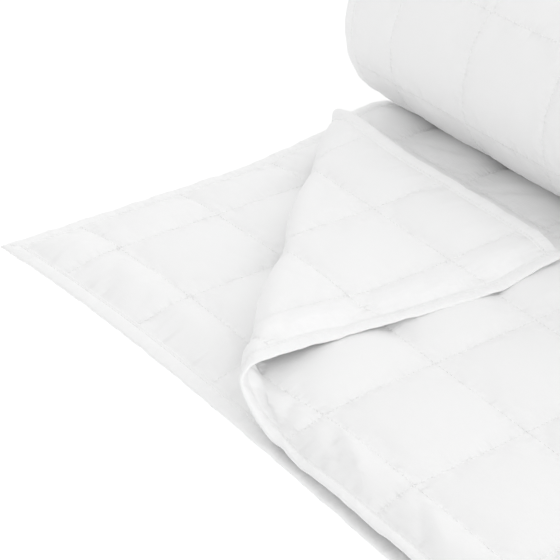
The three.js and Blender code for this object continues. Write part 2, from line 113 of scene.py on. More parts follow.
# Where the layers moved a little, counted in cells. The lower layer's seams drift from a place across it
# on and up to a place along it, and the cells inside its margins slide, up to another such place. The
# upper layer's side edge is raised between two places along it.
DRIFT_START, DRIFT_RUN = 0.2, 1.8
DRIFT_RISE, DRIFT_END = 0.4, 1.8
SLIDE_END, SLIDE_EASE = 3.0, 0.7
RAISE_START, RAISE_RUN = 2.9, 0.6
RAISE_END, RAISE_EASE = 3.9, 0.45

# The turned corner: how far it comes down, its loop at the crease, its lifted rim, and where it is
# pulled, sags and slid.
TURNED_END_DROP = 8.0
TURNED_SIDE_DROP = 1.0
LOOP_LIFT = 20.0
LOOP_REACH = 1.08 * PITCH
LOOP_RUN = 0.85 * PITCH
LOOP_ROUNDING = 1.3
LOOP_FADING = 1.5
LOOP_OUT = 0.35
LOOP_OUT_REACH = 1.2 * PITCH
RIM_LIFT = 4.0
RIM_TIP_LIFT = 8.5
RIM_TIP_START = 2.2
RIM_TIP_RUN = 0.8
SIDE_RAISE = 5.0
SEAM_DRIFT = 0.085 * PITCH
LOWER_SLIDE_X = -5.0
LOWER_SLIDE_Y = 1.5
NEAR_PULL = 18.0
NEAR_PULL_REACH = 0.2 * PITCH
NEAR_PULL_DEPTH = 1.2 * END_MARGIN
TAPE_SLIDE = 5.0
FLAP_PULL = 16.0
FLAP_PULL_U = 2.17 * PITCH
FLAP_PULL_WIDTH = 0.66 * PITCH
FLAP_PULL_DEPTH = 1.3 * END_MARGIN
FLAP_SAG = 5.0
FLAP_SAG_U = 0.68 * PITCH
FLAP_SAG_WIDTH = 0.3 * PITCH
FLAP_SLIDE_X = 0.18 * PITCH
FLAP_SLIDE_Y = 0.13 * PITCH
FLAP_SLIDE_END = 2.54 * PITCH
FLAP_SLIDE_EASE = 1.3
FLAP_SLIDE_REACH = 1.1

# The roll: its centre, its radius at the seams of its outer turn, and its winding. The skin is the part
# that shows and is built finely.
ROLL_Y = 4.51 * PITCH
ROLL_Z = 1.2 * PITCH
ROLL_FRONT_RADIUS = 0.918 * PITCH
ROLL_TURNS = 4.0
SKIN_TURNS = 1.1
WINDING_STEPS = 4000
ROLL_SEAM_TURN = 225 / 360
ROLL_SAG_POWER = 1.5
ROLL_SEAM_V = END_MARGIN + 7 * PITCH
ROLL_V = ROLL_Y - SHIFT_Y
ROLL_BULGE = 1.6
ROLL_INNER_BULGE = 0.9
ROLL_FOLD_IN = 2.0
ROLL_FOLD_OUT = 5.0
ROLL_PLAY = 4.0
UNDER_START = 4.0 * PITCH

# Steps of the grid in one cell and in the margins, how much closer they are near a seam, and how much
# coarser they are in the roll away from its ends. The half chord is for slopes of the surface.
CELL_STEPS = 28
SIDE_STEPS = 16
END_STEPS = 14
CROWDING = 0.45
COARSE_EVERY = 9
END_ZONE = 60.0
HALF_CHORD = 0.5

# The tape's section, as distance from the edge and half thickness, and its waves, which fade from its
# free edge to its stitches.
TAPE_SECTION = [
    (0.0, 0.0), (0.3, 1.0), (1.4, 1.8), (3.5, 2.1), (6.5, 2.1), (9.2, 1.95), (11.2, 1.6),
    (12.4, 0.95), (13.2, 1.05), (14.4, 1.7), (15.3, 1.2),
]
TAPE_STITCH_AT = 12.6
TAPE_WAVE = 0.55
TAPE_FREE = 4.0
TAPE_FREE_RUN = 8.0
TAPE_LOWEST = 0.1
TAPE_WAVES = ((17.9, 0.4, 0.35), (29.3, 2.0, 0.5), (43.7, 4.1, 0.5), (71.0, 1.3, 0.4))
TAPE_STEP = 2.5
ROLLED_TAPE_STEP = 7.0
MITRE_RUN = 60.0
SHEET_START = 11.0

# The cloth simulation: how long it runs, how far it may move the cloth, how rough the cloth is when it
# starts, how much it grows, and what blows its cells up. It runs in the cells that show, and the tape
# and the cloth next to it are held.
CLOTH_FRAMES = 16
CLOTH_REACH = 4.0
CLOTH_ROUGHNESS = 0.15
CLOTH_GROWTH = 0.006
CLOTH_PRESSURE = 0.3
ROLL_PRESSURE = 0.1
SHOWN_CELLS = 3
HELD_EDGE = TAPE_WIDTH + 3

# Stitches: their spacing, length and width, and how far they stand out of the cloth. A section is a
# place along the stitch, its width there and how far it is raised. A knot's stitches lie around a place.
STITCH_SPACING = 4.7
STITCH_LENGTH = 3.3
STITCH_WIDTH = 1.15
STITCH_HEIGHT = 0.28
LONGEST_STITCH = 4.5
STITCH_SECTIONS = ((-0.5, 0.6, -0.1), (-0.25, 1.0, 0.2), (0.25, 1.0, 0.2), (0.5, 0.6, -0.1))
KNOT_STITCHES = 6
KNOT_SPREAD = 1.6
CORNER_KNOT_AT = 8.0

# The rows of stitches: how many run across the sheet, how far they go on past the crease on the lower
# layer, before it on the upper one and after it on the turned corner, how far the rows of the outer face
# stay from the roll's foot, and how long they are on the roll.
ROWS_ACROSS = 10
PAST_CREASE = 10
BEFORE_CREASE = 20
AFTER_CREASE = 15
ROLL_FOOT = 60
ROLLED_ROW = 5.2 * PITCH

# The camera, as it was found from the photograph.
CAMERA_PLACE = np.array([10.63733, -4.42261, 6.80589]) * PITCH
CAMERA_AZIMUTH = 145.62756
CAMERA_ELEVATION = 32.31026
CAMERA_ROLL = -0.39584
FOCAL_LENGTH_PX = 1523.266
PHOTO_WIDTH_PX = 560
SENSOR_WIDTH = 36.0

MM = 0.001
LAYOUT_LEFT = -0.04 * PITCH
LAYOUT_NEAR = -0.04 * PITCH
ORIGIN = np.array([CAD_LOW.x / MM - LAYOUT_LEFT, CAD_LOW.y / MM - LAYOUT_NEAR, 0.0])


def smooth(t):
    t = np.clip(t, 0.0, 1.0)
    return t * t * (3 - 2 * t)


def mix(a, b, t):
    return a + (b - a) * t


def edge_drop(distance, margin):
    """1 at a bound edge, and 0 from the first seam on."""
    return 1 - smooth(distance / margin)


def from_side(s):
    """Distance from the nearer side edge, on the half that a place is on."""
    return np.minimum(s, SHEET_WIDTH - s)


def arch_cell(part, width):
    """A quilted cell's profile in one direction: a groove on both sides of a flat crown."""
    part = np.clip(part, 0, 1)
    groove = 1 - np.exp(-np.minimum(part, 1 - part) * width / GROOVE_WIDTH)
    return GROOVE_PART * groove + (1 - GROOVE_PART) * np.sin(np.pi * part)


def arch(distance, margin):
    """0 on a seam and about 1 in the middle of a cell, in one direction."""
    in_margin = arch_cell((distance - TAPE_WIDTH) / (margin - TAPE_WIDTH), margin - TAPE_WIDTH)
    in_cell = arch_cell(((distance - margin) / PITCH) % 1, PITCH)
    return np.where(distance < margin, in_margin, in_cell)


def crown(s, v):
    return arch(from_side(s), SIDE_MARGIN) * arch(v, END_MARGIN)


# The roll's winding. Turns are counted from the lowest point of its outer turn, up its back.
ROLL_TIGHTENING = 1 - ROLL_FRONT_RADIUS / ROLL_Z


def outer_radius(turn):
    depth = (1 + np.cos(2 * np.pi * turn)) / 2
    sag = np.where(turn < 0.5, depth**ROLL_SAG_POWER, 0)
    return ROLL_FRONT_RADIUS + (ROLL_Z - ROLL_FRONT_RADIUS) * sag


def winding_radius(turns):
    place = np.where(turns < 1, turns, turns % 1)
    base = outer_radius(place) / (1 - ROLL_TIGHTENING * place)
    return base * (1 - ROLL_TIGHTENING * turns)


def pair_thickness(turns):
    return winding_radius(turns) - winding_radius(turns + 1)


def winding_table():
    """Turns and the sheet places v that lie there, with one seam where the photographed roll has it."""
    turns = np.linspace(0, ROLL_TURNS, WINDING_STEPS + 1)
    middle = turns[:-1] + np.diff(turns) / 2
    run = 2 * np.pi * np.diff(turns) * (winding_radius(middle) - pair_thickness(middle) / 4)
    outer = middle < ROLL_SEAM_TURN
    run[outer] *= (ROLL_SEAM_V - ROLL_V) / run[outer].sum()
    return turns, ROLL_V + np.concatenate([[0], np.cumsum(run)])


WINDING_TURNS, WINDING_V = winding_table()
ROLL_END_V = WINDING_V[-1]


def turns_at(v):
    return np.interp(v, WINDING_V, WINDING_TURNS)


def under_roll(v):
    return smooth((v - UNDER_START) / (ROLL_V - UNDER_START))


def across_x(u, v):
    tuck = SIDE_TUCK * np.maximum(0, 1 - u / SIDE_MARGIN)
    return u + SHIFT_X + tuck * smooth((v - TUCK_START) / PITCH)


def lower_place(u, v):
    """Place and height of the lower half's middle surface where it lies flat."""
    drawn_in = DRAWN_IN * (1 - np.exp(-u / DRAWN_IN_REACH)) - CORNER_PULL
    low = TAPE_HALF + EDGE_CLEARANCE
    lift = SIDE_LIFT * smooth((v - LIFT_START) / LIFT_RUN) * edge_drop(u, SIDE_MARGIN)
    near = mix(LOWER_Z, low, edge_drop(v, EDGE_FLATTENING * END_MARGIN))
    side = mix(LOWER_Z, low, edge_drop(u, EDGE_FLATTENING * SIDE_MARGIN))
    y = v + SHIFT_Y + drawn_in * edge_drop(v, DRAWN_IN_DEPTH)
    drift = smooth((u / PITCH - DRIFT_START) / DRIFT_RUN) * smooth(v / PITCH / DRIFT_RISE)
    drift = drift * (1 - smooth(v / PITCH - DRIFT_END))
    inside = (1 - edge_drop(u, SIDE_MARGIN)) * (1 - edge_drop(v, END_MARGIN))
    inside = inside * (1 - smooth((v / PITCH - SLIDE_END) / SLIDE_EASE))
    y += SEAM_DRIFT * drift + LOWER_SLIDE_Y * inside
    return across_x(u, v) + LOWER_SLIDE_X * inside, y, np.minimum(near, side) + lift


def laying_height(u, v):
    near = UPPER_END_DROP * edge_drop(v, END_MARGIN)
    eased = 1 - SIDE_DROP_EASING * smooth((v - EASING_START) / PITCH)
    side = UPPER_SIDE_DROP * edge_drop(u, SIDE_MARGIN) * eased
    near_roll = smooth((v / PITCH - RAISE_START) / RAISE_RUN)
    near_roll = near_roll * (1 - smooth((v / PITCH - RAISE_END) / RAISE_EASE))
    raised = SIDE_RAISE * edge_drop(u, SIDE_MARGIN) * near_roll
    wave = sum(size * np.sin(u / length + phase) for size, length, phase in EDGE_WAVES)
    return UPPER_Z - np.maximum(near, side) + raised + wave * edge_drop(v, END_MARGIN)


def turned_height(u, v):
    """Height of the turned corner. It stands up in a loop at the crease's near end."""
    near = TURNED_END_DROP * edge_drop(v, END_MARGIN)
    side = TURNED_SIDE_DROP * edge_drop(u, SIDE_MARGIN)
    beyond = np.maximum(0, CREASE_SUM - u - v) / math.sqrt(2)
    bend = np.maximum(0, 1 - (beyond / LOOP_RUN) ** 2) ** LOOP_ROUNDING
    loop = LOOP_LIFT * np.exp(-((np.maximum(v, 0) / LOOP_REACH) ** LOOP_FADING)) * bend
    tip = RIM_TIP_LIFT * smooth((v / PITCH - RIM_TIP_START) / RIM_TIP_RUN)
    rim = (RIM_LIFT + tip) * edge_drop(u, PITCH)
    sag = FLAP_SAG * np.exp(-(((u - FLAP_SAG_U) / FLAP_SAG_WIDTH) ** 2)) * edge_drop(v, END_MARGIN)
    return TURNED_Z - np.maximum(near, side) - sag + loop + rim


def upper_place(u, v):
    """Place and height of the upper half's middle surface, its corner turned back over a round crease."""
    along = (v - u) / math.sqrt(2)
    across = (u + v - CREASE_SUM) / math.sqrt(2)
    laying = laying_height(u, v)
    radius = (turned_height(u, v) - laying) / 2
    start = np.pi * radius / 2
    angle = np.clip((start - across) / radius, 0, np.pi)
    turned = angle / np.pi
    shorten_v = mix(END_SHORTENING, TURNED_END_SHORTENING, turned) * np.maximum(0, END_MARGIN - v)
    laid = SIDE_SHORTENING * (1 - smooth((v - TUCK_START) / PITCH))
    shorten_u = mix(laid, TURNED_SIDE_SHORTENING, turned) * np.maximum(0, SIDE_MARGIN - u)
    place = np.where(angle > 0, start - radius * np.sin(angle), across)
    place = np.where(angle >= np.pi, -across, place)
    wider = np.maximum(0, radius - (TURNED_Z - UPPER_Z) / 2)
    place -= LOOP_OUT * wider * (1 - smooth((np.abs(across) - start) / LOOP_OUT_REACH))
    x = (place - along + CREASE_SUM / math.sqrt(2)) / math.sqrt(2)
    y = (place + along + CREASE_SUM / math.sqrt(2)) / math.sqrt(2)
    move_x = mix(shorten_u + across_x(u, v) - u, -shorten_v + SHIFT_X, turned)
    move_y = mix(shorten_v, -shorten_u, turned) + SHIFT_Y
    # The turned corner slid a little along its crease, and pulled at the near edge beside it.
    hidden = 1 - smooth(across / PITCH / FLAP_SLIDE_REACH)
    ended = smooth((v - FLAP_SLIDE_END) / PITCH / FLAP_SLIDE_EASE)
    slid = smooth(v / END_MARGIN) * (1 - ended) * hidden
    move_x += FLAP_SLIDE_X * slid
    move_y -= FLAP_SLIDE_Y * slid * smooth(u / SIDE_MARGIN)
    pull = NEAR_PULL * np.exp(-((np.maximum(across, 0) / NEAR_PULL_REACH) ** 2)) * (1 - turned)
    move_y += pull * edge_drop(v, NEAR_PULL_DEPTH)
    drawn = np.exp(-(((u - FLAP_PULL_U) / FLAP_PULL_WIDTH) ** 2)) * edge_drop(v, FLAP_PULL_DEPTH)
    move_x -= FLAP_PULL * drawn * turned
    move_y += TAPE_SLIDE * (1 - turned) * edge_drop(v, END_MARGIN)
    return x + move_x, y + move_y, laying + radius * (1 - np.cos(angle))


def middle(s, v):
    """The sheet's middle surface: laid flat up to the roll, and wound from there on."""
    s, v = np.broadcast_arrays(np.asarray(s, float), np.asarray(v, float))
    flat_v = np.minimum(v, ROLL_V)
    turns = turns_at(np.maximum(v, ROLL_V))
    under = under_roll(v)
    low_u = np.minimum(s, FOLD_START)
    high_u = np.minimum(SHEET_WIDTH - s, FOLD_START)
    low_x, low_y, low_h = lower_place(low_u, flat_v)
    high_x, high_y, high_h = upper_place(high_u, flat_v)
    rolled_low = ROLL_Z - winding_radius(turns) + SEAM_HALF
    rolled_high = rolled_low + pair_thickness(turns) / 2
    low_h = mix(low_h, rolled_low, under)
    high_h = mix(high_h, rolled_high, under)
    # The cell that the lengthwise fold bends in two.
    across = np.clip(s - FOLD_START, 0, PITCH)
    radius = (high_h - low_h) / 2
    straight = (PITCH - np.pi * radius) / 2
    angle = np.clip((across - straight) / radius, 0, np.pi)
    run = np.minimum(np.where(across <= PITCH / 2, across, PITCH - across), straight)
    fold_x = FOLD_START + SHIFT_X + run + radius * np.sin(angle)
    fold_y = mix(low_y, high_y, angle / np.pi)
    fold_h = low_h + radius * (1 - np.cos(angle))
    is_low = s <= FOLD_START
    is_high = s >= FOLD_END
    x = np.where(is_low, low_x, np.where(is_high, high_x, fold_x))
    y = np.where(is_low, low_y, np.where(is_high, high_y, fold_y))
    h = np.where(is_low, low_h, np.where(is_high, high_h, fold_h))
    theta = 2 * np.pi * turns
    rolled_y = ROLL_Y + (ROLL_Z - h) * np.sin(theta)
    rolled_z = ROLL_Z - (ROLL_Z - h) * np.cos(theta)
    in_roll = v > ROLL_V
    return np.stack([x, np.where(in_roll, rolled_y, y), np.where(in_roll, rolled_z, h)], -1)


def normals(s, v):
    """Unit normals of the middle surface, pointing out of the sheet's inner face."""
    along_s = middle(s + HALF_CHORD, v) - middle(s - HALF_CHORD, v)
    along_v = middle(s, v + HALF_CHORD) - middle(s, v - HALF_CHORD)
    n = np.cross(along_s, along_v)
    return n / np.linalg.norm(n, axis=-1, keepdims=True)


def lofts(s, v):
    """Half thicknesses of the sheet towards its inner and its outer face."""
    height = crown(s, v)
    under = under_roll(v)
    turns = turns_at(np.maximum(v, ROLL_V))
    near_crease = 1 - smooth(np.abs(SHEET_WIDTH - s + v - CREASE_SUM) / CREASE_PRESS_REACH)
    lower = SEAM_HALF + (LOWER_LOFT / 2 - SEAM_HALF) * height
    shown = SEAM_HALF + (SHOWN_LOFT / 2 - SEAM_HALF) * height
    upper = SEAM_HALF + (UPPER_LOFT / 2 - SEAM_HALF) * height
    turned = smooth((CREASE_SUM - (SHEET_WIDTH - s) - v) / PITCH)
    pressed = 1 - CREASE_PRESS * near_crease
    bent = smooth(1 - np.abs((s - FOLD_START) / PITCH - 0.5) / FOLD_BEND_REACH)
    fold_in = SEAM_HALF + height * mix(FOLD_LOFT, FOLD_INNER_LOFT, bent)
    fold_out = SEAM_HALF + height * FOLD_LOFT
    to_core = SEAM_HALF + (pair_thickness(turns) / 2 - ROLL_PLAY) * height
    is_low = s <= FOLD_START
    is_high = s >= FOLD_END
    covered = smooth((np.minimum(s, FOLD_START) + v - CREASE_SUM) / COVERED_RUN + 1)
    low_in = mix(shown, SEAM_HALF + (LOWER_LOFT / 2 - SEAM_HALF + LAYER_GAP) * height, covered)
    high_in = mix(upper, shown, turned) * pressed
    in_flat = np.where(is_low, low_in, np.where(is_high, high_in, fold_in))
    low_out = FLATTENED_UNDERSIDE * lower
    out_flat = np.where(is_low, low_out, np.where(is_high, shown * pressed, fold_out))
    in_bulge = SEAM_HALF + ROLL_INNER_BULGE * height
    out_bulge = SEAM_HALF + ROLL_BULGE * height
    fold_hollow = SEAM_HALF + ROLL_FOLD_IN * height
    in_roll = np.where(is_low, to_core, np.where(is_high, in_bulge, fold_hollow))
    fold_bulge = SEAM_HALF + ROLL_FOLD_OUT * height
    out_roll = np.where(is_low, out_bulge, np.where(is_high, to_core, fold_bulge))
    return mix(in_flat, in_roll, under), mix(out_flat, out_roll, under)


# Soft folds in the faces, each as a line on the sheet (in grid units, across from the side edge that is
# nearer), its half width and its height in millimetres. Negative ones are troughs. A fold is highest along
# its line, it fades past its ends over some half widths, and the seams hold it down.
FOLD_NARROWING = 1.5
FOLD_TAIL = 2
FOLD_FREEDOM = 1.6
UPPER_FOLDS = [
    ((3.42, 0.62), (3.72, 0.12), 0.07, -2.2),
    ((3.30, 0.45), (3.50, 0.15), 0.06, 0.8),
    ((3.87, 0.58), (4.50, 0.16), 0.08, -2.6),
    ((4.05, 0.62), (4.62, 0.22), 0.07, 1.6),
    ((4.05, 0.45), (4.12, 0.16), 0.03, -2.2),
    ((4.22, 0.34), (4.28, 0.15), 0.025, -2.0),
    ((4.36, 0.40), (4.38, 0.15), 0.03, 1.6),
    ((4.86, 0.60), (5.20, 0.18), 0.07, -2.2),
    ((5.00, 0.55), (5.40, 0.25), 0.08, 1.5),
    ((4.95, 0.30), (5.00, 0.14), 0.03, -1.2),
    ((1.00, 3.60), (1.70, 3.40), 0.06, -1.5),
    ((1.90, 3.62), (2.30, 3.95), 0.05, -2.0),
    ((0.85, 3.75), (1.30, 3.90), 0.04, -2.0),
]
LOWER_FOLDS = [
    ((0.95, 0.45), (1.25, 0.16), 0.06, -1.6),
    ((1.28, 0.50), (1.45, 0.16), 0.05, 1.2),
    ((1.55, 0.34), (1.62, 0.15), 0.025, -1.3),
    ((1.72, 0.36), (1.78, 0.15), 0.025, -1.5),
    ((1.88, 0.33), (1.92, 0.15), 0.022, -1.3),
    ((2.02, 0.30), (2.08, 0.15), 0.022, -1.2),
    ((2.25, 0.40), (2.36, 0.15), 0.03, -1.5),
    ((2.10, 0.60), (2.40, 0.40), 0.08, -2.0),
]
FLAP_FOLDS = [
    ((2.35, 0.55), (2.60, 0.20), 0.06, -1.5),
    ((1.60, 1.20), (1.30, 1.45), 0.10, -1.2),
    ((0.40, 1.10), (0.20, 1.60), 0.07, -1.5),
    ((0.30, 2.10), (0.55, 2.50), 0.07, -1.5),
    ((1.20, 0.35), (1.60, 0.30), 0.05, -1.2),
]
ROLL_FOLDS = [
    ((1.75, 8.90), (2.60, 8.30), 0.09, -1.5),
    ((0.90, 8.30), (1.55, 8.05), 0.10, -1.2),
    ((2.90, 8.70), (3.60, 8.10), 0.09, -1.5),
    ((0.30, 8.60), (0.60, 8.00), 0.07, -1.2),
]


def folded(s, v, folds):
    """Height of the soft folds on a face, for a grid of places across (u) and along (v)."""
    height = np.zeros(s.shape)
    for (a_s, a_v), (b_s, b_v), width, rise in folds:
        run_s, run_v = (b_s - a_s) * PITCH, (b_v - a_v) * PITCH
        length = math.hypot(run_s, run_v)
        ds, dv = s - a_s * PITCH, v - a_v * PITCH
        along = (ds * run_s + dv * run_v) / length
        off = (ds * run_v - dv * run_s) / length
        past = np.maximum(np.abs(along - length / 2) - length / 2, 0)
        reach = width * PITCH
        beside = np.exp(-(off**2) / (2 * (reach / FOLD_NARROWING) ** 2))
        height += rise * beside * np.exp(-(past**2) / (2 * (FOLD_TAIL * reach) ** 2))
    return height


def faces_of(s_lines, v_lines):
    """Points of the sheet's inner and outer face on a grid of lines."""
    s, v = np.meshgrid(s_lines, v_lines, indexing="ij")
    points = middle(s, v)
    n = normals(s, v)
    to_inner, to_outer = lofts(s, v)
    u = SHEET_WIDTH - s
    free = np.minimum(1, FOLD_FREEDOM * crown(s, v))
    turned = u + v < CREASE_SUM
    to_inner = to_inner + free * np.where(s < FOLD_START, folded(s, v, LOWER_FOLDS), 0)
    to_inner = to_inner + free * np.where(turned, folded(u, v, FLAP_FOLDS), 0)
    to_outer = to_outer + free * np.where(s > FOLD_END, folded(u, v, UPPER_FOLDS), 0)
    to_outer = to_outer + free * np.where(s < FOLD_START, folded(s, v, ROLL_FOLDS), 0)
    inner = points + n * to_inner[..., None]
    outer = points - n * to_outer[..., None]
    outer[..., 2] = np.maximum(outer[..., 2], 0)
    return inner, outer


def spaced(start, stop, steps):
    """Lines from start to stop, closer near both."""
    t = np.linspace(0, 1, steps + 1)
    return start + (stop - start) * (t - CROWDING * np.sin(2 * np.pi * t) / (2 * np.pi))


TAPE_LINES = [SHEET_START, SHEET_START + 2]


def lines_across():
    margin = spaced(TAPE_WIDTH, SIDE_MARGIN, SIDE_STEPS)[:-1]
    seams = [SIDE_MARGIN + k * PITCH for k in range(CELLS_ACROSS)]
    cells = [spaced(seam, seam + PITCH, CELL_STEPS)[:-1] for seam in seams]
    first = np.concatenate([TAPE_LINES, margin])
    last = [SIDE_MARGIN + CELLS_ACROSS * PITCH]
    return np.concatenate([first, *cells, last, SHEET_WIDTH - first[::-1]])


def lines_along(start, stop, steps):
    """Lines of the quilting's cells between two places along the sheet, with both of them."""
    first = math.floor((start - END_MARGIN) / PITCH)
    last = math.ceil((stop - END_MARGIN) / PITCH)
    seams = [END_MARGIN + k * PITCH for k in range(first, last)]
    cells = [spaced(seam, seam + PITCH, steps)[:-1] for seam in seams]
    inside = np.concatenate(cells)
    inside = inside[(inside > start + 1) & (inside < stop - 1)]
    return np.concatenate([[start], inside, [stop]])


def lines_to_roll():
    margin = spaced(TAPE_WIDTH, END_MARGIN, END_STEPS)[:-1]
    return np.concatenate([TAPE_LINES, margin, lines_along(END_MARGIN, ROLL_V, CELL_STEPS)])


def to_frame(points):
    """Points of the layout, in millimetres, as points of the frame, in metres."""
    return (points + ORIGIN) * MM


def zipped(row_a, keys_a, row_b, keys_b):
    """Triangles between two rows of vertices whose keys both rise."""
    triangles = []
    i = j = 0
    while i < len(row_a) - 1 or j < len(row_b) - 1:
        next_a = keys_a[i + 1] if i < len(row_a) - 1 else math.inf
        next_b = keys_b[j + 1] if j < len(row_b) - 1 else math.inf
        if next_a <= next_b:
            triangles.append((row_a[i], row_a[i + 1], row_b[j]))
            i += 1
        else:
            triangles.append((row_a[i], row_b[j + 1], row_b[j]))
            j += 1
    return triangles


def grid_quads(index):
    """Quads of a grid of vertex numbers. Their normals point to the inner side of the sheet."""
    a, b, c, d = index[:-1, :-1], index[1:, :-1], index[1:, 1:], index[:-1, 1:]
    return np.stack([a, b, c, d], -1).reshape(-1, 4)


def new_object(name, points, quads, triangles=(), uv=None):
    """A smooth-shaded mesh object. uv gives each vertex's place on the sheet, in metres."""
    quads = np.asarray(quads, np.int32).reshape(-1, 4)
    triangles = np.asarray(triangles, np.int32).reshape(-1, 3)
    corners = np.concatenate([quads.ravel(), triangles.ravel()]).astype(np.int32)
    totals = np.concatenate([np.full(len(quads), 4), np.full(len(triangles), 3)]).astype(np.int32)
    starts = np.concatenate([[0], np.cumsum(totals)[:-1]]).astype(np.int32)
    mesh = bpy.data.meshes.new(name)
    mesh.vertices.add(len(points))
    mesh.vertices.foreach_set("co", np.asarray(points, np.float32).ravel())
    mesh.loops.add(len(corners))
    mesh.loops.foreach_set("vertex_index", corners)
    mesh.polygons.add(len(totals))
    mesh.polygons.foreach_set("loop_start", starts)
    mesh.polygons.foreach_set("loop_total", totals)
    mesh.polygons.foreach_set("use_smooth", np.ones(len(totals), bool))
    if uv is not None:
        layer = mesh.uv_layers.new(name="sheet")
        layer.data.foreach_set("uv", np.asarray(uv, np.float32)[corners].ravel())
    mesh.update(calc_edges=True)
    mesh.validate()
    made = bpy.data.objects.new(name, mesh)
    bpy.context.scene.collection.objects.link(made)
    return made


def laid_duvet():
    """The part of the duvet that isn't rolled up, as one closed mesh."""
    s_lines, v_lines = lines_across(), lines_to_roll()
    inner, outer = faces_of(s_lines, v_lines)
    turned_s, turned_v = SIDE_MARGIN + SHOWN_CELLS * PITCH, END_MARGIN + SHOWN_CELLS * PITCH
    sheet_end = SHEET_WIDTH - SHEET_START
    blown(inner, s_lines, v_lines, (SHEET_START, turned_s, SHEET_START, turned_v), True, 1)
    blown(inner, s_lines, v_lines, (SHEET_WIDTH - turned_s, sheet_end, SHEET_START, turned_v), True, 2)
    blown(outer, s_lines, v_lines, (FOLD_START, sheet_end, SHEET_START, ROLL_V), False, 3)
    count = inner.shape[0] * inner.shape[1]
    index = np.arange(count).reshape(inner.shape[:2])
    under = index + count
    quads = [grid_quads(index), grid_quads(under)[:, ::-1]]
    for rim in (index[:, 0], index[-1, :], index[::-1, -1], index[0, ::-1]):
        quads.append(np.stack([rim[1:], rim[:-1], rim[:-1] + count, rim[1:] + count], -1))
    s, v = np.meshgrid(s_lines, v_lines, indexing="ij")
    uv = np.stack([s, v], -1).reshape(-1, 2) * MM
    points = to_frame(np.concatenate([inner.reshape(-1, 3), outer.reshape(-1, 3)]))
    return new_object("duvet_laid", points, np.concatenate(quads), uv=np.concatenate([uv, uv]))


def rolled_duvet():
    """The rolled-up part, as one closed mesh: fine on the outer turn, and coarse where it is hidden."""
    s_lines = lines_across()
    skin_v = WINDING_V[np.searchsorted(WINDING_TURNS, SKIN_TURNS)]
    v_lines = np.concatenate([
        lines_along(ROLL_V, skin_v, CELL_STEPS),
        lines_along(skin_v, ROLL_END_V, CELL_STEPS // 2)[1:],
    ])
    skin_rows = int(np.searchsorted(v_lines, skin_v)) + 1
    away = from_side(s_lines)
    numbers = np.arange(len(s_lines))
    shown = (away < SIDE_MARGIN + END_ZONE / 2) | (np.abs(s_lines - FOLD_S) < END_ZONE)
    coarse = numbers[shown | (numbers % COARSE_EVERY == 0)]
    fine = numbers[s_lines <= FOLD_END]
    inner, outer = faces_of(s_lines, v_lines)
    blown(outer, s_lines, v_lines, (SHEET_START, FOLD_END, ROLL_V, skin_v), False, 4, pressure=ROLL_PRESSURE)
    s, v = np.meshgrid(s_lines, v_lines, indexing="ij")
    uv = np.stack([s, v], -1) * MM
    # Vertex numbers: the inner face on coarse lines, the outer one on fine lines in its first turn.
    inner_index = np.arange(len(coarse) * len(v_lines)).reshape(len(coarse), -1)
    used = np.zeros(outer.shape[:2], bool)
    used[coarse, :] = True
    used[np.ix_(fine, np.arange(skin_rows))] = True
    outer_index = np.full(outer.shape[:2], -1)
    outer_index[used] = inner_index.size + np.arange(used.sum())
    points = np.concatenate([inner[coarse].reshape(-1, 3), outer[used]])
    uvs = np.concatenate([uv[coarse].reshape(-1, 2), uv[used]])
    rest = coarse[coarse >= fine[-1]]
    quads = [
        grid_quads(inner_index),
        grid_quads(outer_index[np.ix_(fine, np.arange(skin_rows))])[:, ::-1],
        grid_quads(outer_index[np.ix_(rest, np.arange(skin_rows))])[:, ::-1],
        grid_quads(outer_index[np.ix_(coarse, np.arange(skin_rows, len(v_lines)))])[:, ::-1],
    ]
    triangles = []
    row_a = outer_index[fine, skin_rows - 1]
    low = coarse[coarse <= fine[-1]]
    row_b = outer_index[low, skin_rows]
    triangles += [t[::-1] for t in zipped(row_a, s_lines[fine], row_b, s_lines[low])]
    last = np.ix_(rest, [skin_rows - 1, skin_rows])
    quads.append(grid_quads(outer_index[last])[:, ::-1])
    # Its two bound sides, its start under the roll and its end at the core.
    for side, flip in ((0, 1), (-1, -1)):
        top, below = inner_index[side], outer_index[side]
        rim = np.stack([top[:-1], top[1:], below[1:], below[:-1]], -1)
        quads.append(rim[:, ::flip])
    core_top, core_below = inner_index[:, -1], outer_index[coarse, -1]
    quads.append(np.stack([core_top[:-1], core_top[1:], core_below[1:], core_below[:-1]], -1))
    first = np.concatenate([fine, rest[1:]])
    start = zipped(inner_index[:, 0], s_lines[coarse], outer_index[first, 0], s_lines[first])
    triangles += [t[::-1] for t in start]
    return new_object("duvet_rolled", to_frame(points), np.concatenate(quads), triangles, uvs)


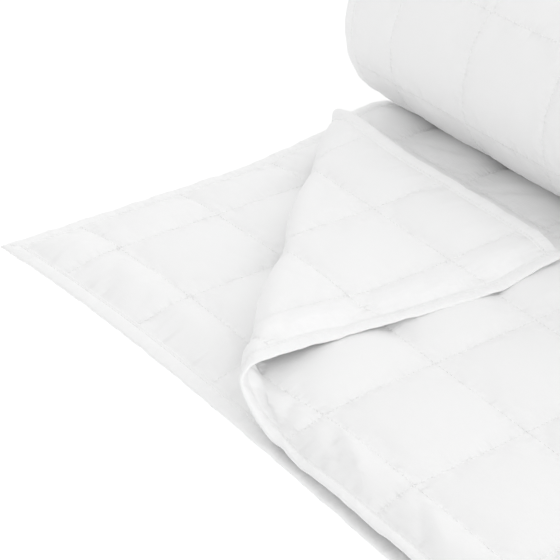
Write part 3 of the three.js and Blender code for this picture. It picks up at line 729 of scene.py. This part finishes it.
def pillowed(points, pinned, inner_side, pressure, seed):
    """The grid of one face after a run of cloth simulation, its seams held, its cells grown and blown up."""
    rng = np.random.default_rng(seed)
    index = np.arange(points.shape[0] * points.shape[1]).reshape(points.shape[:2])
    quads = grid_quads(index) if inner_side else grid_quads(index)[:, ::-1]
    start = to_frame(points)
    start = start + rng.normal(0, CLOTH_ROUGHNESS * MM, start.shape) * ~pinned[..., None]
    run = new_object("cloth_run", start.reshape(-1, 3), quads)
    group = run.vertex_groups.new(name="held")
    group.add([int(k) for k in index[pinned]], 1.0, "REPLACE")
    settings = run.modifiers.new("cloth", "CLOTH").settings
    settings.vertex_group_mass = "held"
    settings.quality = 4
    settings.mass = 0.3
    settings.tension_stiffness = settings.compression_stiffness = 40
    settings.shear_stiffness = 15
    settings.bending_stiffness = 0.6
    settings.tension_damping = settings.compression_damping = settings.shear_damping = 8
    settings.air_damping = 3
    settings.use_pressure = True
    settings.uniform_pressure_force = pressure
    settings.shrink_min = -CLOTH_GROWTH
    settings.effector_weights.gravity = 0
    cache = run.modifiers["cloth"].point_cache
    cache.frame_start, cache.frame_end = 1, CLOTH_FRAMES
    for number in range(1, CLOTH_FRAMES + 1):
        bpy.context.scene.frame_set(number)
    after = run.evaluated_get(bpy.context.evaluated_depsgraph_get()).to_mesh()
    flat = np.empty(len(after.vertices) * 3, np.float32)
    after.vertices.foreach_get("co", flat)
    moved = flat.reshape(points.shape) / MM - ORIGIN - points
    mesh = run.data
    bpy.data.objects.remove(run)
    bpy.data.meshes.remove(mesh)
    bpy.context.scene.frame_set(1)
    length = np.linalg.norm(moved, axis=-1, keepdims=True)
    moved = moved * (CLOTH_REACH * np.tanh(length / CLOTH_REACH) / np.maximum(length, 1e-6))
    return points + moved


def blown(face, s_lines, v_lines, region, inner_side, seed, pressure=CLOTH_PRESSURE):
    """Puts the simulated cloth into one region of a face's grid, between four seams or edges."""
    s_low, s_high, v_low, v_high = region
    rows = np.flatnonzero((s_lines >= s_low - 0.1) & (s_lines <= s_high + 0.1))
    columns = np.flatnonzero((v_lines >= v_low - 0.1) & (v_lines <= v_high + 0.1))
    place = np.ix_(rows, columns)
    s, v = np.meshgrid(s_lines[rows], v_lines[columns], indexing="ij")
    held = (crown(s, v) < 0.01) | (np.minimum(from_side(s), v) < HELD_EDGE)
    held[0, :] = held[-1, :] = held[:, 0] = held[:, -1] = True
    face[place] = pillowed(face[place], held, inner_side, pressure, seed)
    face[..., 2] = np.maximum(face[..., 2], 0)


def tape():
    """The bound edge: one tape along both sides and the near end, mitred at the corners."""
    side = np.concatenate([
        np.arange(ROLL_END_V, ROLL_V, -ROLLED_TAPE_STEP),
        np.linspace(ROLL_V, 0, round(ROLL_V / TAPE_STEP) + 1),
    ])
    near = np.linspace(0, SHEET_WIDTH, round(SHEET_WIDTH / TAPE_STEP) + 1)
    zeros, ones = np.zeros_like(side), np.ones_like(side)
    skew = np.clip(1 - side / MITRE_RUN, 0, 1)
    near_skew = np.clip(1 - near / MITRE_RUN, 0, 1) - np.clip(1 - (SHEET_WIDTH - near) / MITRE_RUN, 0, 1)
    edge = np.concatenate([
        np.stack([zeros, side], -1),
        np.stack([near, np.zeros_like(near)], -1)[1:-1],
        np.stack([zeros + SHEET_WIDTH, side], -1)[::-1],
    ])
    inward = np.concatenate([
        np.stack([ones, skew], -1),
        np.stack([near_skew, np.ones_like(near)], -1)[1:-1],
        np.stack([-ones, skew], -1)[::-1],
    ])
    section = TAPE_SECTION + [(d, -e) for d, e in TAPE_SECTION[:0:-1]]
    depth = np.array([d for d, e in section])
    height = np.array([e for d, e in section])
    place = edge[:, None, :] + inward[:, None, :] * depth[None, :, None]
    s, v = place[..., 0], place[..., 1]
    length = np.concatenate([[0], np.cumsum(np.linalg.norm(np.diff(edge, axis=0), axis=1))])
    wave = sum(
        size * np.sin(2 * np.pi * length / period + phase)
        for period, phase, size in TAPE_WAVES
    )
    n = normals(s, v)
    points = middle(s, v) + n * height[None, :, None]
    free = 1 - smooth((depth - TAPE_FREE) / TAPE_FREE_RUN)
    points += n * (TAPE_WAVE * wave[:, None] * free)[..., None]
    points[..., 2] = np.maximum(points[..., 2], TAPE_LOWEST)
    rows, around = place.shape[:2]
    index = np.arange(rows * around).reshape(rows, around)
    index = np.concatenate([index, index[:, :1]], 1)
    quads = grid_quads(index)[:, ::-1]
    fan = [[index[0, 0], index[0, k], index[0, k + 1]] for k in range(1, around - 1)]
    fan += [[index[-1, 0], index[-1, k + 1], index[-1, k]] for k in range(1, around - 1)]
    uv = np.stack([np.broadcast_to(length[:, None], s.shape), np.broadcast_to(depth, s.shape)], -1)
    return new_object("edge_tape", to_frame(points).reshape(-1, 3), quads, fan, uv.reshape(-1, 2) * MM)


def seam_runs():
    """The sewn lines that show, as (place across, place along, direction, length, face)."""
    runs = []
    inset, far = TAPE_STITCH_AT, SHEET_WIDTH - TAPE_STITCH_AT
    for side in (1, -1):
        runs.append(((inset, inset), (1, 0), far - inset, side))
        runs.append(((inset, inset), (0, 1), ROLL_END_V - inset, side))
        runs.append(((far, inset), (0, 1), ROLL_END_V - inset, side))
    for k in range(CELLS_ACROSS + 1):
        s = SIDE_MARGIN + k * PITCH
        u = min(s, SHEET_WIDTH - s)
        crease_v = max(CREASE_SUM - u, TAPE_WIDTH)
        if s < FOLD_S:
            runs.append(((s, TAPE_WIDTH), (0, 1), crease_v + PAST_CREASE, 1))
            runs.append(((s, TAPE_WIDTH), (0, 1), ROLL_V - ROLL_FOOT, -1))
            runs.append(((s, ROLL_V + ROLL_FOOT), (0, 1), ROLLED_ROW, -1))
        else:
            start_v = max(crease_v - BEFORE_CREASE, TAPE_WIDTH)
            runs.append(((s, start_v), (0, 1), ROLL_V - crease_v, -1))
            runs.append(((s, TAPE_WIDTH), (0, 1), crease_v - TAPE_WIDTH - AFTER_CREASE, 1))
    for k in range(ROWS_ACROSS):
        v = END_MARGIN + k * PITCH
        crease_u = max(CREASE_SUM - v, TAPE_WIDTH)
        if v < ROLL_V:
            turned_s = SHEET_WIDTH - crease_u + AFTER_CREASE
            runs.append(((TAPE_WIDTH, v), (1, 0), crease_u + PAST_CREASE, 1))
            runs.append(((TAPE_WIDTH, v), (1, 0), SHEET_WIDTH - crease_u - TAPE_WIDTH, -1))
            runs.append(((turned_s, v), (1, 0), crease_u - TAPE_WIDTH - AFTER_CREASE, 1))
        else:
            runs.append(((TAPE_WIDTH, v), (1, 0), FOLD_END - TAPE_WIDTH, -1))
    return runs


def knots():
    """Back-tacks: a few short stitches over each other, at the corners and where the quilting rows begin."""
    rng = np.random.default_rng(7)
    at = CORNER_KNOT_AT
    upper_seam = CELLS_ACROSS // 2 + 1
    places = [(at, at, 1), (SHEET_WIDTH - at, at, 1)]
    places += [(SIDE_MARGIN + k * PITCH, END_MARGIN, 1) for k in range(CELLS_ACROSS + 1)]
    places += [(SIDE_MARGIN + k * PITCH, END_MARGIN, -1) for k in range(upper_seam, CELLS_ACROSS + 1)]
    centres, along, sides = [], [], []
    for s, v, side in places:
        for angle in rng.uniform(0, np.pi, KNOT_STITCHES):
            centres.append(np.array([s, v]) + rng.normal(0, KNOT_SPREAD, 2))
            along.append([math.cos(angle), math.sin(angle)])
            sides.append(float(side))
    return np.array(centres), np.array(along), np.array(sides)


def threads(name, runs):
    """Sewn stitches along lines of the sheet: short threads, sunk into the cloth at both ends."""
    centres, along, sides = [[part] for part in knots()]
    for (s, v), (ds, dv), length, side in runs:
        steps = np.arange(STITCH_SPACING / 2, max(length, 0), STITCH_SPACING)
        centres.append(np.stack([s + ds * steps, v + dv * steps], -1))
        along.append(np.tile([float(ds), float(dv)], (len(steps), 1)))
        sides.append(np.full(len(steps), float(side)))
    centres, along, sides = np.concatenate(centres), np.concatenate(along), np.concatenate(sides)
    keep = centres[:, 1] < ROLL_END_V - STITCH_LENGTH
    centres, along, sides = centres[keep], along[keep], sides[keep]
    sections = []
    for part, width, rise in STITCH_SECTIONS:
        at = centres + along * (part * STITCH_LENGTH)
        n = normals(at[:, 0], at[:, 1])
        face = surface(at[:, 0], at[:, 1], sides) + n * (sides * rise)[:, None]
        ahead = surface(*(at + along * HALF_CHORD).T, sides) - surface(*(at - along * HALF_CHORD).T, sides)
        across = np.cross(n, ahead / np.linalg.norm(ahead, axis=1, keepdims=True))
        half, high = width * STITCH_WIDTH / 2, width * STITCH_HEIGHT
        sections.append(np.stack([
            face + across * half,
            face + n * sides[:, None] * high,
            face - across * half,
            face - n * sides[:, None] * high,
        ], 1))
    sections = np.stack(sections, 1)
    # Where the sheet bends too sharply for a stitch, there is none.
    fits = np.linalg.norm(sections[:, -1, 1] - sections[:, 0, 1], axis=-1) < LONGEST_STITCH
    sections, sides = sections[fits], sides[fits]
    points = sections.reshape(-1, 3)
    points[:, 2] = np.maximum(points[:, 2], 0)
    faces = []
    for k in range(3):
        for a, b in ((0, 1), (1, 2), (2, 3), (3, 0)):
            faces.append([4 * k + a, 4 * k + b, 4 * k + 4 + b, 4 * k + 4 + a])
    faces = np.array(faces + [[3, 2, 1, 0], [12, 13, 14, 15]])
    quads = (np.arange(len(sections)) * 16)[:, None, None] + faces[None]
    flip = np.repeat(sides > 0, len(faces))
    quads = quads.reshape(-1, 4)
    quads[flip] = quads[flip][:, ::-1]
    return new_object(name, to_frame(points), quads)


def surface(s, v, side):
    """Points of the sheet's faces on its seams, or of the tape's faces within its width."""
    to_inner, to_outer = lofts(s, v)
    depth = np.minimum(from_side(s), v)
    depths, heights = zip(*TAPE_SECTION)
    on_tape = depth < TAPE_WIDTH
    to_inner = np.where(on_tape, np.interp(depth, depths, heights), to_inner)
    to_outer = np.where(on_tape, np.interp(depth, depths, heights), to_outer)
    n = normals(s, v)
    return middle(s, v) + n * np.where(side > 0, to_inner, -to_outer)[:, None]


# Colours, and the cloth's relief in metres. Puckers lie beside the seams and gathers beside the tape,
# each as noise cells a metre along the line and away from it, detail, reach and height.
CLOTH_COLOUR = (0.965, 0.965, 0.965)
THREAD_COLOUR = (0.98, 0.98, 0.98)
PUCKERS = (95.0, 22.0, 2.0, 0.006, 0.0048)
GATHERS = (58.0, 11.0, 1.0, 0.018, 0.0075)
CREASES_A_METRE = 26.0
CREASE_HEIGHT = 0.0008
THREADS_A_METRE = 1100.0
THICK_SPOTS_A_METRE = 60.0
THREAD_HEIGHT = 0.00012

# The tape's relief: noise cells a metre along and across it, and height.
TAPE_RIPPLES = ((150.0, 45.0, 0.0016), (1100.0, 1100.0, 0.0001))


def sheet_places(nodes):
    """The place on the sheet or along the tape, in metres."""
    sheet = nodes.new("ShaderNodeUVMap")
    sheet.uv_map = "sheet"
    return sheet.outputs["UV"]


def quilted_material(name, colour):
    """White cotton: a fine weave, soft creases, and puckers beside the seams and the tape."""
    made = plain_material(name, colour)
    nodes, links = made.node_tree.nodes, made.node_tree.links
    shader = nodes["Principled BSDF"]
    shader.inputs["Roughness"].default_value = 0.92
    shader.inputs["Specular IOR Level"].default_value = 0.15
    shader.inputs["Sheen Weight"].default_value = 0.08

    def result(operation, first, second=None):
        node = nodes.new("ShaderNodeMath")
        node.operation = operation
        for slot, value in zip(node.inputs, (first, second)):
            if isinstance(value, (int, float)):
                slot.default_value = value
            elif value is not None:
                links.new(value, slot)
        return node.outputs[0]

    def noise(place, scale, detail):
        """Noise around 0 at a place."""
        texture = nodes.new("ShaderNodeTexNoise")
        texture.inputs["Scale"].default_value = scale
        texture.inputs["Detail"].default_value = detail
        links.new(place, texture.inputs["Vector"])
        return result("SUBTRACT", texture.outputs["Fac"], 0.5)

    def stretched_noise(first, first_scale, second, second_scale, detail):
        place = nodes.new("ShaderNodeCombineXYZ")
        links.new(result("MULTIPLY", first, first_scale), place.inputs[0])
        links.new(result("MULTIPLY", second, second_scale), place.inputs[1])
        return noise(place.outputs[0], 1.0, detail)

    places = sheet_places(nodes)
    split = nodes.new("ShaderNodeSeparateXYZ")
    links.new(places, split.inputs[0])
    across, along = split.outputs[0], split.outputs[1]
    pitch = PITCH * MM
    heights = []
    ways = ((across, along, SIDE_MARGIN, SHEET_WIDTH), (along, across, END_MARGIN, ROLL_END_V))
    for place, other, margin, whole in ways:
        cells = result("DIVIDE", result("SUBTRACT", place, margin * MM), pitch)
        from_seam = result("MULTIPLY", result("PINGPONG", cells, 0.5), pitch)
        from_edge = result("MINIMUM", place, result("SUBTRACT", whole * MM, place))
        from_tape = result("SUBTRACT", from_edge, TAPE_WIDTH * MM)
        for distance, relief in ((from_seam, PUCKERS), (from_tape, GATHERS)):
            along_line, off_line, detail, reach, height = relief
            ripple = stretched_noise(other, along_line, place, off_line, detail)
            fading = result("EXPONENT", result("MULTIPLY", distance, -1 / reach))
            heights.append(result("MULTIPLY", result("MULTIPLY", ripple, fading), height))
    heights.append(result("MULTIPLY", noise(places, CREASES_A_METRE, 3.0), CREASE_HEIGHT))
    for place, other in ((across, along), (along, across)):
        thread = stretched_noise(place, THREADS_A_METRE, other, THICK_SPOTS_A_METRE, 1.0)
        heights.append(result("MULTIPLY", thread, THREAD_HEIGHT))
    total = heights[0]
    for height in heights[1:]:
        total = result("ADD", total, height)
    bump = nodes.new("ShaderNodeBump")
    bump.inputs["Distance"].default_value = 1.0
    bump.inputs["Strength"].default_value = 1.0
    links.new(total, bump.inputs["Height"])
    links.new(bump.outputs["Normal"], shader.inputs["Normal"])
    return made


def tape_material(name, colour):
    """Cotton tape: a fine weave, and ripples across it that the stitching draws in."""
    made = plain_material(name, colour)
    nodes, links = made.node_tree.nodes, made.node_tree.links
    places = sheet_places(nodes)
    last = None
    for along, across, height in TAPE_RIPPLES:
        stretched = nodes.new("ShaderNodeMapping")
        stretched.inputs["Scale"].default_value = (along, across, 1.0)
        links.new(places, stretched.inputs["Vector"])
        ripple = nodes.new("ShaderNodeTexNoise")
        ripple.inputs["Scale"].default_value = 1.0
        ripple.inputs["Detail"].default_value = 2.0
        links.new(stretched.outputs["Vector"], ripple.inputs["Vector"])
        bump = nodes.new("ShaderNodeBump")
        bump.inputs["Distance"].default_value = height
        bump.inputs["Strength"].default_value = 1.0
        links.new(ripple.outputs["Fac"], bump.inputs["Height"])
        if last is not None:
            links.new(last, bump.inputs["Normal"])
        last = bump.outputs["Normal"]
    links.new(last, nodes["Principled BSDF"].inputs["Normal"])
    return made


def plain_material(name, colour):
    made = bpy.data.materials.new(name)
    made.use_nodes = True
    shader = made.node_tree.nodes["Principled BSDF"]
    shader.inputs["Base Color"].default_value = (*colour, 1)
    shader.inputs["Roughness"].default_value = 0.9
    return made


def camera():
    """The camera stands where the photograph was taken from."""
    azimuth, elevation = math.radians(CAMERA_AZIMUTH), math.radians(CAMERA_ELEVATION)
    roll = math.radians(CAMERA_ROLL)
    level_part = math.cos(elevation)
    forward = Vector((level_part * math.cos(azimuth), level_part * math.sin(azimuth), -math.sin(elevation)))
    level = forward.cross(Vector((0, 0, 1))).normalized()
    upright = level.cross(forward)
    right = level * math.cos(roll) + upright * math.sin(roll)
    up = upright * math.cos(roll) - level * math.sin(roll)
    data = bpy.data.cameras.new("camera")
    data.sensor_width = SENSOR_WIDTH
    data.lens = FOCAL_LENGTH_PX / PHOTO_WIDTH_PX * SENSOR_WIDTH
    made = bpy.data.objects.new("camera", data)
    bpy.context.scene.collection.objects.link(made)
    turn = Matrix((right, up, -forward)).transposed().to_4x4()
    made.matrix_world = Matrix.Translation(Vector(to_frame(CAMERA_PLACE))) @ turn
    bpy.context.scene.camera = made


# Soft lights around the scene, each as its direction and its strength in the middle.
SOFT_LIGHTS = [
    ((-1.0, 0.0, 0.35), 1.45),
    ((1.0, -0.1, 0.33), 0.90),
    ((0.0, 1.0, 0.35), 1.06),
    ((1.0, -1.0, 1.2), 1.04),
    ((0.0, 1.0, 1.7), 0.36),
]
LIGHT_FOCUS = 3.0
FLOOR_SIZE = 80.0
FLOOR_COLOUR = (0.5, 0.5, 0.5)
FLOOR_GLOW = 0.59


def studio():
    """A pale floor, and a world of broad soft lights."""
    half = FLOOR_SIZE / 2
    mesh = bpy.data.meshes.new("floor")
    corners = [(-half, -half, 0), (half, -half, 0), (half, half, 0), (-half, half, 0)]
    mesh.from_pydata(corners, [], [(0, 1, 2, 3)])
    floor = bpy.data.objects.new("floor", mesh)
    bpy.context.scene.collection.objects.link(floor)
    plain = plain_material("floor", FLOOR_COLOUR)
    shader = plain.node_tree.nodes["Principled BSDF"]
    shader.inputs["Emission Color"].default_value = (1, 1, 1, 1)
    shader.inputs["Emission Strength"].default_value = FLOOR_GLOW
    floor.data.materials.append(plain)
    world = bpy.data.worlds.new("studio")
    world.use_nodes = True
    nodes, links = world.node_tree.nodes, world.node_tree.links
    direction = nodes.new("ShaderNodeTexCoord")
    total = None
    for towards, strength in SOFT_LIGHTS:
        facing = nodes.new("ShaderNodeVectorMath")
        facing.operation = "DOT_PRODUCT"
        facing.inputs[1].default_value = Vector(towards).normalized()
        links.new(direction.outputs["Generated"], facing.inputs[0])
        socket = facing.outputs["Value"]
        for operation, value in (("MAXIMUM", 0.0), ("POWER", LIGHT_FOCUS), ("MULTIPLY", strength)):
            step = nodes.new("ShaderNodeMath")
            step.operation = operation
            step.inputs[1].default_value = value
            links.new(socket, step.inputs[0])
            socket = step.outputs[0]
        if total is not None:
            added = nodes.new("ShaderNodeMath")
            added.operation = "ADD"
            links.new(total, added.inputs[0])
            links.new(socket, added.inputs[1])
            socket = added.outputs[0]
        total = socket
    background = nodes["Background"]
    background.inputs["Color"].default_value = (1, 1, 1, 1)
    links.new(total, background.inputs["Strength"])
    bpy.context.scene.world = world
    bpy.context.scene.view_settings.view_transform = "Standard"


camera()
studio()
cloth = quilted_material("quilted_cloth", CLOTH_COLOUR)
laid = laid_duvet()
rolled = rolled_duvet()
for piece in (laid, rolled):
    piece.data.materials.append(cloth)
    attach(piece, "root")
    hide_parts("duvet")
sewing = threads("stitches", seam_runs())
sewing.data.materials.append(plain_material("stitch_thread", THREAD_COLOUR))
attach(sewing, "root")
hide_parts("duvet")
bound = tape()
bound.data.materials.append(tape_material("binding_tape", CLOTH_COLOUR))
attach(bound, "root")
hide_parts("edge_binding")
